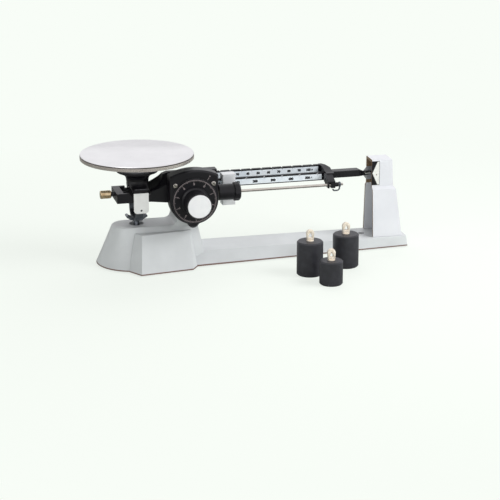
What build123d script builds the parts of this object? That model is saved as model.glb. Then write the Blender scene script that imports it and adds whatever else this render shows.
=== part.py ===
from build123d import *
import math
import os

# A laboratory balance with two notched beams, a dial and a tare rod. X runs from the pan to the pointer,
# Y away from the viewer and Z up from the table. Lengths are in millimetres, angles in degrees.
# The pieces are modelled with the pan's axis at X = 0 and the beam's middle plane at Y = 0, and the whole
# set is moved at the end, so that its origin is the middle of its footprint on the table.

# Clearances
running_gap = 0.05
free_gap = 0.3
slide_gap = 0.6

# Levers: all knife edges lie at one height
knife_height = 103.5
short_arm = 61.5
weight_ratio = 3.39
fulcrum_x = short_arm
hanger_x = short_arm * (1 + weight_ratio)

# Base casting
casting_wall = 3.6
roof_wall = 4.0
casting_rim = 1.5
top_plate = 53.5
ground_nose_x = -6.0
ground_nose_radius = 51.6
top_nose_x = -15.0
top_nose_radius = 21.5
pedestal_bend_x = 45.0
ground_end_x = 87.5
ground_end_half = 31.0
post_left = 48.0
post_right = 77.3
post_top = 97.0
post_top_left = 49.5
post_top_right = 75.0
post_top_half = 17.2
post_foot_radius = 7.0
bar_top = 16.0
bar_end_x = 375.0
bar_end_draft = 2.0
bar_ground_half = 49.4
bar_ground_end_half = 27.0
bar_top_half = 29.5
bar_top_end_half = 24.6
edge_round = 1.4
stem_hole_radius = 9.8
bar_hole_radius = 4.25
bar_hole_x = 316.0

# Sloped block on the pedestal's front
block_top = 46.5
block_ground = ((-22.3, -30), (-22.3, -49.8), (-9.7, -70.7), (62.4, -61.2), (70.6, -48.9), (70.6, -26))
block_crown = ((-9, -12), (-9, -25.5), (-2, -37), (65, -26.6), (66.6, -25.2), (66.6, -12))
block_wall = 3.6

# Rubber feet
foot_radius = 7.5
foot_height = 6.0
foot_boss_radius = 9.0
foot_places = ((-16, -32), (-16, 32), (344, -15), (344, 15))

# Check link, which keeps the pan support upright: as long as the short arm, and parallel to it
stem_x = -2.4
link_end_x = stem_x + short_arm
link_height = 33.0
link_pin_radius = 2.0
link_half_height = 4.0
link_half_width = 3.6
link_tine = 2.6
lug_gap = 5.0
lug_wall = 4.0

# Pointer tower
tower_wall = 2.6
tower_left = 325.6
tower_foot_right = 367.4
tower_foot_half = 23.0
tower_waist = 82.0
tower_waist_right = 359.2
tower_waist_half = 17.8
tower_shoulder = 85.6
tower_box_right = 356.4
tower_box_half = 13.4
tower_top = 123.8
tower_top_right = 354.6
tower_screw_radius = 2.0
tower_lug = 9.0
tower_lug_height = 7.0

# Index plate, let into the tower's front
index_low = 88.0
index_high = 121.4
index_width = 10.6
index_depth = 1.0
index_thickness = 0.8
index_height = 102.6
rivet_radius = 1.1

# Damper: a vane on the beam between two magnets
vane_thickness = 1.0
vane_start_x = 316.0
vane_end_x = 346.0
vane_half_height = 9.2
magnet_gap = 3.0
magnet_length = 12.0
magnet_height = 12.0
magnet_thickness = 3.0
yoke_thickness = 2.0
yoke_reach = 15.0
yoke_pad_radius = 5.0
yoke_screw_radius = 1.5
yoke_screw_head = 2.8

# Beam casting
casting_half = 22.0
fork_left = -31.6
fork_inner_left = -22.0
fork_low = 88.4
fork_high = 101.5
fork_inner_half = 18.0
fork_round_x = 16.0
saddle_notch_half = 14.0
saddle_notch_floor = 98.5
roof_left = 13.6
roof_left_ridge = 113.0
hub_left = 40.0
hub_right = 94.0
hub_low = 85.4
eave_rise = 7.9
roof_rise = 11.6
hub_eave = knife_height + eave_rise
hub_ridge = hub_eave + roof_rise
ridge_half = 4.5
hub_wall = 2.6
cross_left = 260.6
cross_skew = 1.8
cross_depth = 10.4
cross_front = -14.0

# Notched rails
rail_web_half = 1.6
strip_half = 2.4
strip_height = 2.0
flange_height = 1.2
centre_rail_low = 97.0
centre_rail_high = 108.0
centre_zero_x = 124.4
centre_pitch = 25.2
centre_steps = 5
rear_rail_y = 18.0
rear_rail_low = 103.0
rear_rail_high = 114.3
rear_zero_x = 103.6
rear_pitch = 14.6
rear_steps = 10
notch_depth = 1.4
scale_thickness = 0.7

# Arm and pointer
arm_half = 7.0
arm_low = 100.0
arm_high = 109.2
arm_end = 309.0
pointer_root = 316.0
pointer_end = 328.0
pointer_thickness = 2.4

# Knife edges and their bearings
knife_half_angle = 30.0
groove_half_angle = 60.0
main_knife_half_width = 3.0
main_knife_back = 1.4
pan_knife_width = 4.6
bearing_half_length = 7.0
bearing_width = 6.0
bearing_centre_y = 13.0
bearing_depth = 3.5
pan_bearing_half_length = 8.0
pan_bearing_height = 4.8

# Dial housing on the front of the hub
dial_x = 69.0
dial_z = 91.4
housing_back = -22.5
housing_front = -42.0
housing_radius = 33.0
housing_half = 32.6
housing_crown = 133.0
housing_crown_radius = 74.0
housing_wall = 2.4
housing_bevel = 2.2
tab_x = 67.5
tab_z = 61.5
tab_radius = 8.0
tab_blend = 5.0
back_plate_thickness = 1.6
housing_screw_offset = 26.0
housing_screw_z = 113.6
housing_screw_radius = 3.0
housing_screw_head = 1.4

# Dial, knob and cap
dial_radius = 31.0
dial_thickness = 2.2
dial_bevel = 1.2
knob_radius = 17.4
knob_waist = 16.4
knob_front = -72.0
knob_skirt = 1.6
knob_band = 8.0
cap_radius = 15.7
cap_proud = 0.7
cap_recess = 1.2
shaft_radius = 3.0
bush_radius = 5.5

# Tare rod and its poise
rod_y = -26.0
rod_z = 96.2
rod_radius = 2.0
rod_start = 97.0
rod_hole_reach = 20.0
rod_end = 277.0
rod_ball_radius = 1.9
tare_left = 104.4
tare_length = 21.6
tare_radius = 10.8
grip_length = 8.5
grip_radius = 13.0
grip_flat_count = 12
bracket_left = 257.8
bracket_leg = 2.0
bracket_slot = 2.4
bracket_right = 268.0
bracket_front = -30.0
bracket_low = 92.4
nut_length = 5.0
nut_radius = 3.0
nut_bevel = 0.6

# Poises on the rails
poise_half = 9.0
centre_poise_front = -8.0
centre_poise_back = 7.2
centre_poise_low = 72.6
centre_poise_high = 115.3
rear_poise_half = 8.6
rear_poise_front = 11.2
rear_poise_back = 25.0
rear_poise_low = 84.0
rear_poise_high = 118.6
poise_pin_radius = 0.9
poise_bevel = 0.8

# Zero adjustment at the fork's end
zero_z = 96.4
zero_knob_left = -50.7
zero_knob_length = 15.0
zero_knob_radius = 5.6
zero_screw_radius = 2.6
zero_screw_tip = -15.5
zero_screw_grip = 2.0
zero_facet_count = 8

# Weight hanger
hook_wire = 1.0
hook_radius = 3.6
hook_drop = 1.6
hook_eye_x = 275.0

# Pan support
saddle_reach = 1.5
saddle_rise = 2.0
waist_rise = 6.5
neck_rise = 11.0
flare_rise = 22.5
saddle_low = knife_height - saddle_reach
saddle_high = knife_height + saddle_rise
waist_height = knife_height + waist_rise
neck_height = knife_height + neck_rise
flare_height = knife_height + flare_rise
saddle_half = 10.8
saddle_outer = 26.4
saddle_round = 3.0
waist_half = 13.6
waist_half_depth = 17.0
neck_radius = 15.0
flare_radius = 27.5
flare_thickness = 2.5
support_wall = 3.6
spigot_radius = 9.0
spigot_height = 8.0
side_plate_thickness = 1.5
side_plate_half = 10.0
side_plate_low = 74.0
side_plate_corner = 4.5
side_plate_inset = 0.2
rivet_recess = 0.6
bow_thickness = 3.0
bow_low = 60.5
bow_half = 5.0
bow_corner = 13.0
bow_leg_top = 82.0
bow_rivet_z = 78.0
bow_rivet_radius = 1.4
wing_half = 14.3
wing_low = 58.5
wing_thickness = 3.6
wing_tip_rise = 6.1
wing_tip_radius = 1.9
wing_half_depth = 6.0
stem_radius = 4.0

# Pan
pan_radius = 76.2
pan_hub_height = 22.5
pan_top = flare_height + flare_thickness + pan_hub_height
pan_sheet = 1.0
pan_rim = 7.0
hub_cup_radius = 24.0
hub_flange_radius = 34.0
hub_sheet = 1.2

# Attachment weights: place on the table, radius, height
weight_table = {
    "weight_1": (208.8, -112.2, 17.5, 46.0),
    "weight_2": (265.6, -88.6, 17.5, 45.0),
    "small_weight": (224.4, -158.1, 15.4, 32.2),
}
weight_bevel = 1.5
eye_height = 14.6
eye_half = 6.2
eye_thickness = 4.4
eye_band = 1.7
eye_tip_radius = 3.8
eye_corner = 2.2
eye_seat_radius = 4.6
eye_seat_height = 1.4


# Drawing helpers

def area(*corners):
    return make_face(Polyline(*corners, close=True))


def block(x_low, x_high, y_low, y_high, z_low, z_high):
    middle = Pos((x_low + x_high) / 2, (y_low + y_high) / 2, (z_low + z_high) / 2)
    return middle * Box(x_high - x_low, y_high - y_low, z_high - z_low)


def front_prism(outline, back, front):
    # the outline is drawn in X and Z
    return extrude(Plane.XZ.offset(-back) * outline, back - front)


def side_prism(outline, left, right):
    # the outline is drawn in Y and Z
    return extrude(Plane.YZ.offset(left) * outline, right - left)


def turned_upright(*profile):
    # the profile is a list of (radius, height)
    return revolve(Plane.XZ * area(*profile), Axis.Z)


def turned_along(y, z, *profile):
    # the profile is a list of (x, radius), turned about a line along X
    return Pos(0, y, z) * revolve(area(*profile), Axis.X)


def turned_facing(x, z, *profile):
    # the profile is a list of (y, radius), turned about a line along Y
    return Pos(x, 0, z) * revolve(area(*[(radius, y) for y, radius in profile]), Axis.Y)


def rod_along(x_low, x_high, y, z, radius):
    return turned_along(y, z, (x_low, 0), (x_low, radius), (x_high, radius), (x_high, 0))


def pin_across(y_low, y_high, x, z, radius):
    return turned_facing(x, z, (y_low, 0), (y_low, radius), (y_high, radius), (y_high, 0))


# Base casting

def pedestal_plan(nose_x, nose_radius, end_x, end_half, height):
    front = Polyline((end_x, -end_half), (pedestal_bend_x, -nose_radius), (nose_x, -nose_radius))
    nose = ThreePointArc((nose_x, -nose_radius), (nose_x - nose_radius, 0), (nose_x, nose_radius))
    back = Polyline((nose_x, nose_radius), (pedestal_bend_x, nose_radius), (end_x, end_half))
    end = Line((end_x, end_half), (end_x, -end_half))
    return Pos(0, 0, height) * make_face(front + nose + back + end)


def hollow_under(low, high, wall, roof):
    # space under a drafted shell, open at the bottom
    inner_low = offset(low, -wall, kind=Kind.INTERSECTION).face()
    inner_high = Pos(0, 0, -roof) * offset(high, -wall, kind=Kind.INTERSECTION).face()
    return loft([inner_low, inner_high], ruled=True) + extrude(inner_low, -2 * casting_rim)


def pedestal_faces():
    low = pedestal_plan(ground_nose_x, ground_nose_radius, ground_end_x, ground_end_half, casting_rim)
    high = pedestal_plan(top_nose_x, top_nose_radius, post_right, top_nose_radius, top_plate - edge_round)
    return low, high


def bevelled_top(face):
    # a soft upper edge on a drafted shell
    crown = Pos(0, 0, edge_round) * offset(face, -edge_round, kind=Kind.INTERSECTION).face()
    return loft([face, crown], ruled=True)


def post_faces():
    overlap = 2 * edge_round
    low = area((post_left, -top_nose_radius), (post_right, -top_nose_radius),
               (post_right, top_nose_radius), (post_left, top_nose_radius))
    high = area((post_top_left, -post_top_half), (post_top_right, -post_top_half),
                (post_top_right, post_top_half), (post_top_left, post_top_half))
    return Pos(0, 0, top_plate - overlap) * low, Pos(0, 0, post_top) * high


def bar_section(x, ground_half, top_half, inset):
    low = casting_rim - (2 * casting_rim if inset else 0)
    high = bar_top - (roof_wall if inset else 0)
    shoulder = high - edge_round
    foot = ground_half - inset
    edge = top_half + edge_round / 2 - inset
    crown = edge - edge_round
    return Plane.YZ.offset(x) * area((-foot, low), (foot, low), (edge, shoulder), (crown, high),
                                     (-crown, high), (-edge, shoulder))


def bar_shape(inset):
    left = bar_section(pedestal_bend_x, bar_ground_half, bar_top_half, inset)
    end = bar_end_x - inset - (bar_end_draft if inset else 0)
    right = bar_section(end, bar_ground_end_half, bar_top_end_half, inset)
    return loft([left, right], ruled=True)


def end_draft():
    # the end face of the bar leans in towards its top
    wedge = area((bar_end_x, casting_rim), (bar_end_x - bar_end_draft, bar_top),
                 (bar_end_x - bar_end_draft, bar_top + casting_rim), (bar_end_x + casting_rim, bar_top + casting_rim),
                 (bar_end_x + casting_rim, casting_rim))
    return front_prism(wedge, bar_ground_half, -bar_ground_half)


def block_faces():
    low = Pos(0, 0, casting_rim) * area(*block_ground)
    high = Pos(0, 0, block_top) * area(*block_crown)
    return low, high


def make_base():
    pedestal = loft(list(pedestal_faces()), ruled=True) + bevelled_top(pedestal_faces()[1])
    post = loft(list(post_faces()), ruled=True)
    post_foot = block(post_left - post_foot_radius, post_left + free_gap, -top_nose_radius, top_nose_radius,
                      top_plate - edge_round, top_plate + post_foot_radius)
    post_foot -= pin_across(-casting_half, casting_half, post_left - post_foot_radius,
                            top_plate + post_foot_radius, post_foot_radius)
    bar = bar_shape(0)
    front_block = loft(list(block_faces()), ruled=True)
    outside = pedestal + post + post_foot + bar + front_block
    shell = outside - hollow_under(*pedestal_faces(), casting_wall, roof_wall)
    shell -= hollow_under(*post_faces(), casting_wall, 2 * roof_wall)
    shell -= hollow_under(*block_faces(), block_wall, roof_wall)
    shell -= bar_shape(casting_wall)
    shell -= end_draft()
    bosses = foot_bosses() + link_lugs()
    shell += bosses & outside
    shell -= Pos(stem_x, 0, top_plate) * Cylinder(stem_hole_radius, 4 * roof_wall)
    shell -= Pos(bar_hole_x, 0, bar_top) * Cylinder(bar_hole_radius, 4 * roof_wall)
    for x, y in tower_screw_places():
        shell -= Pos(x, y, bar_top) * Cylinder(tower_screw_radius, 4 * roof_wall)
    return shell - link_pin_hole()


def foot_bosses():
    bosses = []
    for x, y in foot_places:
        bosses.append(Pos(x, y, foot_height) * Cylinder(
            foot_boss_radius, bar_top + roof_wall, align=(Align.CENTER, Align.CENTER, Align.MIN)))
    return Part() + bosses


def link_lugs():
    lugs = []
    for side in (-1, 1):
        inner = side * lug_gap
        outer = side * (lug_gap + lug_wall)
        lugs.append(block(link_end_x - 3 * link_pin_radius, ground_end_x, min(inner, outer), max(inner, outer),
                          link_height - 3 * link_pin_radius, link_height + 3 * link_pin_radius))
    return Part() + lugs


def link_pin_hole():
    reach = lug_gap + lug_wall + free_gap
    return pin_across(-reach, reach, link_end_x, link_height, link_pin_radius)


def make_feet():
    feet = []
    for x, y in foot_places:
        profile = turned_upright((0, 0), (foot_radius - 1, 0), (foot_radius, 1),
                                 (foot_radius, foot_height), (0, foot_height))
        feet.append(Pos(x, y, 0) * profile)
    return Part() + feet


def make_link():
    low = link_height - link_half_height
    high = link_height + link_half_height
    tine_inner = stem_radius + free_gap
    tine_outer = tine_inner + link_tine
    bridge_left = stem_x + stem_radius + 2 * free_gap
    bar = block(bridge_left + link_tine, link_end_x, -link_half_width, link_half_width, low, high)
    eye = pin_across(-link_half_width, link_half_width, link_end_x, link_height, link_half_height)
    bridge = block(bridge_left, bridge_left + 2 * link_tine, -tine_outer, tine_outer, low, high)
    link = bar + eye + bridge
    for near, far in ((-tine_outer, -tine_inner), (tine_inner, tine_outer)):
        link += block(stem_x, bridge_left + link_tine, near, far, low, high)
        link += pin_across(near, far, stem_x, link_height, link_half_height)
    link -= pin_across(-casting_half, casting_half, link_end_x, link_height, link_pin_radius + running_gap)
    return link - pin_across(-casting_half, casting_half, stem_x, link_height, link_pin_radius + free_gap)


def make_link_pin():
    reach = lug_gap + lug_wall
    return pin_across(-reach, reach, link_end_x, link_height, link_pin_radius)


# Pointer tower

def tower_level(right, half, height, inset):
    left = tower_left - (2 * tower_wall if inset else 0)
    return Pos(0, 0, height) * area((left, -half + inset), (right - inset, -half + inset),
                                    (right - inset, half - inset), (left, half - inset))


def tower_shape(inset):
    head_top = tower_top - edge_round
    levels = [tower_level(tower_foot_right, tower_foot_half, bar_top - inset, inset),
              tower_level(tower_waist_right, tower_waist_half, tower_waist, inset),
              tower_level(tower_box_right, tower_box_half, tower_shoulder, inset),
              tower_level(tower_top_right, tower_box_half, head_top - inset, inset)]
    shape = Part()
    for low, high in zip(levels, levels[1:]):
        shape += loft([low, high], ruled=True)
    if inset:
        return shape
    crown = tower_level(tower_top_right - edge_round, tower_box_half - edge_round, tower_top, 0)
    return shape + loft([levels[-1], crown], ruled=True)


def tower_screw_places():
    reach = tower_foot_half - tower_wall - tower_lug / 2
    x = tower_foot_right - tower_wall - tower_lug / 2
    return ((x, -reach), (x, reach))


def make_tower():
    shell = tower_shape(0)
    lugs = []
    for x, y in tower_screw_places():
        lugs.append(block(x - tower_lug, x + tower_lug, y - tower_lug, y + tower_lug,
                          bar_top, bar_top + tower_lug_height))
    outside = tower_shape(0)
    lug_bounds = block(tower_foot_right - 2 * tower_lug, tower_foot_right, -tower_foot_half, tower_foot_half,
                       bar_top, bar_top + tower_lug_height)
    middle_gap = block(tower_left, tower_foot_right, -tower_lug, tower_lug, bar_top, tower_waist)
    shell -= tower_shape(tower_wall)
    shell += ((Part() + lugs) & outside & lug_bounds) - middle_gap
    for x, y in tower_screw_places():
        shell -= Pos(x, y, bar_top) * Cylinder(tower_screw_radius, 2 * tower_lug_height)
    shell -= block(tower_left - 1, tower_left + index_width + free_gap, -tower_box_half - 1,
                   -tower_box_half + index_depth, index_low - free_gap, index_high + free_gap)
    shell -= index_rivet_shape()
    pad = rod_along(yoke_seat(), tower_box_right, pointer_plane(), index_height, yoke_pad_radius)
    shell += pad & outside
    shell -= rod_along(screw_face(), tower_box_right + 1, pointer_plane(), index_height,
                       yoke_screw_head + free_gap)
    return shell - yoke_screw_shape()


def make_index_plate():
    plate = block(tower_left, tower_left + index_width, -tower_box_half + index_depth - index_thickness,
                  -tower_box_half + index_depth, index_low, index_high)
    return plate - index_rivet_shape()


def index_rivet_shape():
    x = tower_left + 0.62 * index_width
    face = -tower_box_half + index_depth - index_thickness
    shank = pin_across(face, -tower_box_half + tower_wall, x, index_height, rivet_radius / 2)
    return shank


def make_index_rivet():
    x = tower_left + 0.62 * index_width
    face = -tower_box_half + index_depth - index_thickness
    head = turned_facing(x, index_height, (face, 0), (face, rivet_radius), (face - 0.3, rivet_radius * 0.8),
                         (face - 0.45, 0))
    return head + index_rivet_shape()


def make_tower_screws():
    head_height = 2.4
    screws = []
    for x, y in tower_screw_places():
        under = bar_top - roof_wall
        shank = turned_upright((0, under), (tower_screw_radius, under),
                               (tower_screw_radius, bar_top + tower_lug_height - 1),
                               (0, bar_top + tower_lug_height - 1))
        head = turned_upright((0, under - head_height), (2 * tower_screw_radius, under - head_height),
                              (2 * tower_screw_radius, under), (0, under))
        slot = block(-2 * tower_screw_radius, 2 * tower_screw_radius, -0.5, 0.5,
                     under - head_height, under - head_height / 2)
        screws.append(Pos(x, y, 0) * (shank + head - slot))
    return Part() + screws


# Damper

def head_wall_face(height):
    # outer face of the leaning right wall of the tower's head
    share = (height - tower_shoulder) / (tower_top - edge_round - tower_shoulder)
    return tower_box_right + share * (tower_top_right - tower_box_right)


def yoke_seat():
    # a cast pad stands clear of the leaning wall
    return head_wall_face(tower_top) - tower_wall - free_gap


def screw_face():
    # spot face of the yoke screw on the outside
    return head_wall_face(index_height + 2 * yoke_screw_radius) - free_gap


def magnet_face():
    return vane_thickness / 2 + magnet_gap


def make_yoke():
    right = yoke_seat()
    left = right - yoke_reach
    outer = magnet_face() + magnet_thickness + yoke_thickness
    middle = pointer_plane()
    low = index_height - magnet_height / 2 - yoke_thickness
    high = index_height + magnet_height / 2 + yoke_thickness
    body = block(left, right, middle - outer, middle + outer, low, high)
    gap = magnet_face() + magnet_thickness
    body -= block(left - 1, right - yoke_thickness, middle - gap, middle + gap, low - 1, high + 1)
    return body - yoke_screw_shape()


def pointer_plane():
    # middle plane of the vane, which lies behind the pointer blade
    return vane_thickness / 2


def make_magnet(side):
    right = yoke_seat() - yoke_thickness - 1
    inner = pointer_plane() + side * magnet_face()
    outer = inner + side * magnet_thickness
    magnet = block(right - magnet_length, right, min(inner, outer), max(inner, outer),
                   index_height - magnet_height / 2, index_height + magnet_height / 2)
    return chamfer(magnet.edges().filter_by(Axis.Y), 0.6)


def yoke_screw_shape():
    return rod_along(yoke_seat() - yoke_thickness, tower_box_right + 1, pointer_plane(), index_height,
                     yoke_screw_radius)


def make_yoke_screw():
    face = screw_face()
    shank = rod_along(yoke_seat() - yoke_thickness, face, pointer_plane(), index_height, yoke_screw_radius)
    head = turned_along(pointer_plane(), index_height, (face, 0), (face, yoke_screw_head), (face + 1.2, yoke_screw_head),
                        (face + 1.8, yoke_screw_head - 0.6), (face + 1.8, 0))
    slot = block(face + 0.9, face + 3, pointer_plane() - 3, pointer_plane() + 3, index_height - 0.4,
                 index_height + 0.4)
    return shank + head - slot


def make_vane():
    middle = index_height
    half = vane_half_height
    tip = vane_start_x
    outline = area((tip, middle - 1.6), (tip + 6, middle - half), (vane_end_x, middle - half),
                   (vane_end_x, middle + half), (tip + 6, middle + half), (tip, middle + 1.6))
    vane = front_prism(outline, vane_thickness, 0)
    for x in vane_rivet_places():
        vane -= pin_across(-casting_half, casting_half, x, index_height + 1.6, rivet_radius / 2)
    return vane


def vane_rivet_places():
    return (pointer_root + 3, pointer_end - 3)


def make_vane_rivets():
    rivets = []
    for x in vane_rivet_places():
        front = -pointer_thickness
        z = index_height + 1.6
        shank = pin_across(front, vane_thickness, x, z, rivet_radius / 2)
        head = turned_facing(x, z, (vane_thickness, 0), (vane_thickness, rivet_radius * 0.8),
                             (vane_thickness + 0.4, rivet_radius * 0.5), (vane_thickness + 0.4, 0))
        rivets.append(shank + head)
    return Part() + rivets


# Beam casting

def gable(x, low, eave, ridge, half):
    return Plane.YZ.offset(x) * area((-half, low), (half, low), (half, eave), (ridge_half, ridge),
                                     (-ridge_half, ridge), (-half, eave))


def fork_and_hub():
    arms = block(fork_left, hub_left, -casting_half, casting_half, fork_low, fork_high)
    neck = loft([gable(roof_left, fork_low, fork_high, roof_left_ridge, casting_half),
                 gable(hub_left, hub_low, hub_eave, hub_ridge, casting_half)], ruled=True)
    hub = loft([gable(hub_left, hub_low, hub_eave, hub_ridge, casting_half),
                gable(hub_right, hub_low, hub_eave, hub_ridge, casting_half)], ruled=True)
    opening = block(fork_inner_left, fork_round_x, -fork_inner_half, fork_inner_half, 0, pan_top)
    opening += Pos(fork_round_x, 0, knife_height) * Cylinder(fork_inner_half, knife_height)
    inner_half = casting_half - hub_wall
    hollow = loft([gable(hub_left - 1, hub_low - 1, hub_eave - hub_wall, hub_ridge - hub_wall, inner_half),
                   gable(hub_right - hub_wall, hub_low - 1, hub_eave - hub_wall, hub_ridge - hub_wall,
                         inner_half)], ruled=True)
    notch = block(-saddle_notch_half, saddle_notch_half, -casting_half - 1, casting_half + 1,
                  saddle_notch_floor, fork_high + free_gap)
    return arms + neck + hub - opening - hollow - notch


def rail(y, low, high):
    outline = area((y - rail_web_half, low), (y + rail_web_half, low), (y + rail_web_half, high),
                   (y - rail_web_half, high))
    web = side_prism(outline, hub_right - hub_wall, cross_left + 1)
    strip = block(hub_right - hub_wall, cross_left + 1, y - strip_half, y + strip_half,
                  high - strip_height, high)
    flange = block(hub_right - hub_wall, cross_left + 1, y - strip_half, y + strip_half,
                   low, low + flange_height)
    return web + strip + flange


def notch_row(y, high, zero_x, pitch, steps):
    cuts = []
    for step in range(steps + 1):
        x = zero_x + step * pitch
        outline = area((x - notch_depth, high + 0.1), (x + notch_depth, high + 0.1), (x, high - notch_depth))
        cuts.append(front_prism(outline, y + 2 * strip_half, y - 2 * strip_half))
    return Part() + cuts


def cross_member():
    rear_edge = rear_rail_y + strip_half + 2
    right = cross_left + cross_depth
    plan = area((cross_left, cross_front), (cross_left, arm_half), (cross_left - cross_skew, rear_edge),
                (cross_left + strip_half, rear_edge), (right, arm_half), (right, cross_front))
    body = Pos(0, 0, centre_rail_low) * extrude(plan, rear_rail_high - centre_rail_low)
    far = 2 * rear_edge
    rail_edge = rear_rail_y - strip_half
    above = area((-far, arm_high), (-arm_half, arm_high), (rail_edge, rear_rail_high), (far, rear_rail_high),
                 (far, 2 * rear_rail_high), (-far, 2 * rear_rail_high))
    below = area((arm_half, 0), (arm_half, centre_rail_low), (rail_edge, rear_rail_low), (far, rear_rail_low),
                 (far, 0))
    top_cut = side_prism(above, cross_left - cross_depth, right + cross_depth)
    low_cut = side_prism(below, cross_left - cross_depth, right + cross_depth)
    return body - top_cut - low_cut


def rod_bracket():
    outline = area((-8, arm_high - 1), (-14, arm_high - 1), (bracket_front, rod_z + 5.5),
                   (bracket_front, bracket_low), (rod_y + 6, bracket_low), (-12, centre_rail_low),
                   (-8, centre_rail_low))
    legs = side_prism(outline, bracket_left, bracket_right)
    slot_left = bracket_left + bracket_leg
    slot = block(slot_left, slot_left + bracket_slot, bracket_front - 1, rod_y + 8,
                 bracket_low - 1, rod_z + 3.5)
    poise_room = block(bracket_left - 1, cross_left, centre_poise_front - 1, 0, 0, pan_top)
    return legs - slot - poise_room


def arm_and_pointer():
    arm = block(cross_left + 1, arm_end, -arm_half, arm_half, arm_low, arm_high)
    arm = chamfer(arm.edges().filter_by(Axis.X), 0.8)
    thick = area((-arm_half + 0.8, arm_low), (arm_half - 0.8, arm_low), (arm_half, arm_low + 0.8),
                 (arm_half, arm_high - 0.8), (arm_half - 0.8, arm_high), (-arm_half + 0.8, arm_high),
                 (-arm_half, arm_high - 0.8), (-arm_half, arm_low + 0.8))
    low = index_height - 3.0
    high = index_height + 3.6
    edge = 0.4
    thin = area((-pointer_thickness + edge, low), (-edge, low), (0, low + edge), (0, high - edge),
                (-edge, high), (-pointer_thickness + edge, high), (-pointer_thickness, high - edge),
                (-pointer_thickness, low + edge))
    taper = loft([Plane.YZ.offset(arm_end) * thick, Plane.YZ.offset(pointer_root) * thin], ruled=True)
    blade = front_prism(area((pointer_root, low), (pointer_end, index_height - 1.8),
                             (pointer_end, index_height + 2.8), (pointer_root, high)), 0, -pointer_thickness)
    return arm + taper + blade


def make_beam():
    beam = fork_and_hub()
    beam += rail(0, centre_rail_low, centre_rail_high)
    beam += rail(rear_rail_y, rear_rail_low, rear_rail_high)
    beam += cross_member() + rod_bracket() + arm_and_pointer()
    beam -= notch_row(0, centre_rail_high, centre_zero_x, centre_pitch, centre_steps)
    beam -= notch_row(rear_rail_y, rear_rail_high, rear_zero_x, rear_pitch, rear_steps)
    beam -= main_knife_shape(running_gap)
    beam -= pin_across(-casting_half - 1, hub_wall - casting_half + 1, dial_x, dial_z, bush_radius)
    beam -= rod_along(hub_right + 1, rod_end, rod_y, rod_z, rod_radius)
    beam -= rod_along(fork_left - 1, fork_inner_left + 1, 0, zero_z, zero_screw_radius + running_gap)
    for side in (-1, 1):
        x = dial_x + side * housing_screw_offset
        beam -= pin_across(-casting_half - 1, hub_wall - casting_half, x, housing_screw_z, housing_screw_radius / 2)
    for x in vane_rivet_places():
        beam -= pin_across(-casting_half, casting_half, x, index_height + 1.6, rivet_radius / 2)
    return beam


def make_rear_scale():
    front = rear_rail_y - rail_web_half
    return block(hub_right + free_gap, cross_left - 4, front - scale_thickness, front,
                 rear_rail_low + flange_height, rear_rail_high - strip_height)


def make_centre_scale():
    front = -rail_web_half
    return block(hub_right + free_gap, cross_left - 4, front - scale_thickness, front,
                 centre_rail_low + flange_height, centre_rail_high - strip_height)


# Knife edges and bearings

def main_knife_shape(grow):
    rise = main_knife_half_width / math.tan(math.radians(knife_half_angle))
    half = main_knife_half_width + grow
    top = knife_height + rise + main_knife_back + grow
    outline = area((fulcrum_x, knife_height - grow), (fulcrum_x + half, knife_height + rise),
                   (fulcrum_x + half, top), (fulcrum_x - half, top), (fulcrum_x - half, knife_height + rise))
    return front_prism(outline, casting_half, -casting_half)


def groove_half_width(depth):
    return depth * math.tan(math.radians(groove_half_angle))


def make_main_bearing(side):
    apex = knife_height - running_gap
    top = apex + bearing_depth
    low_y = side * bearing_centre_y - bearing_width / 2
    high_y = low_y + bearing_width
    body = block(fulcrum_x - bearing_half_length, fulcrum_x + bearing_half_length, low_y, high_y, post_top, top)
    half = groove_half_width(bearing_depth + 1)
    outline = area((fulcrum_x, apex), (fulcrum_x + half, top + 1), (fulcrum_x - half, top + 1))
    return body - front_prism(outline, high_y + 1, low_y - 1)


def pan_knife_span():
    return fork_inner_half - free_gap, fork_inner_half - free_gap + pan_knife_width


def make_pan_knives():
    rise = knife_height - saddle_notch_floor
    half = rise * math.tan(math.radians(knife_half_angle))
    outline = area((-half, saddle_notch_floor), (half, saddle_notch_floor), (0, knife_height))
    inner, outer = pan_knife_span()
    return front_prism(outline, outer, inner) + front_prism(outline, -inner, -outer)


def pan_bearing_space(grow):
    inner, outer = pan_knife_span()
    low = saddle_low - free_gap
    spaces = []
    for side in (-1, 1):
        ends = (side * (inner - 0.6 - grow), side * (outer + 0.6 + grow))
        spaces.append(block(-pan_bearing_half_length - grow, pan_bearing_half_length + grow, min(ends), max(ends),
                            low - grow, low + pan_bearing_height))
    return Part() + spaces


def make_pan_bearings():
    apex = knife_height + running_gap
    depth = apex - (saddle_low - free_gap) + 1
    half = groove_half_width(depth)
    groove = area((0, apex), (half, apex - depth), (-half, apex - depth))
    return pan_bearing_space(0) - front_prism(groove, casting_half + bearing_width, -casting_half - bearing_width)


# Dial housing

def tombstone(shrink):
    round_part = Pos(dial_x, dial_z) * Circle(housing_radius - shrink)
    tall = housing_crown + 1 - dial_z
    sides = Pos(dial_x, dial_z + tall / 2) * Rectangle(2 * (housing_half - shrink), tall)
    crown = Pos(dial_x, housing_crown - housing_crown_radius) * Circle(housing_crown_radius - shrink)
    return round_part + (sides & crown)


def housing_outline():
    whole = tombstone(0) + Pos(tab_x, tab_z) * Circle(tab_radius)
    corners = whole.vertices().filter_by(
        lambda v: math.hypot(v.X - tab_x, v.Y - tab_z) < tab_radius + 0.1)
    return fillet(corners, tab_blend)


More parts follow.
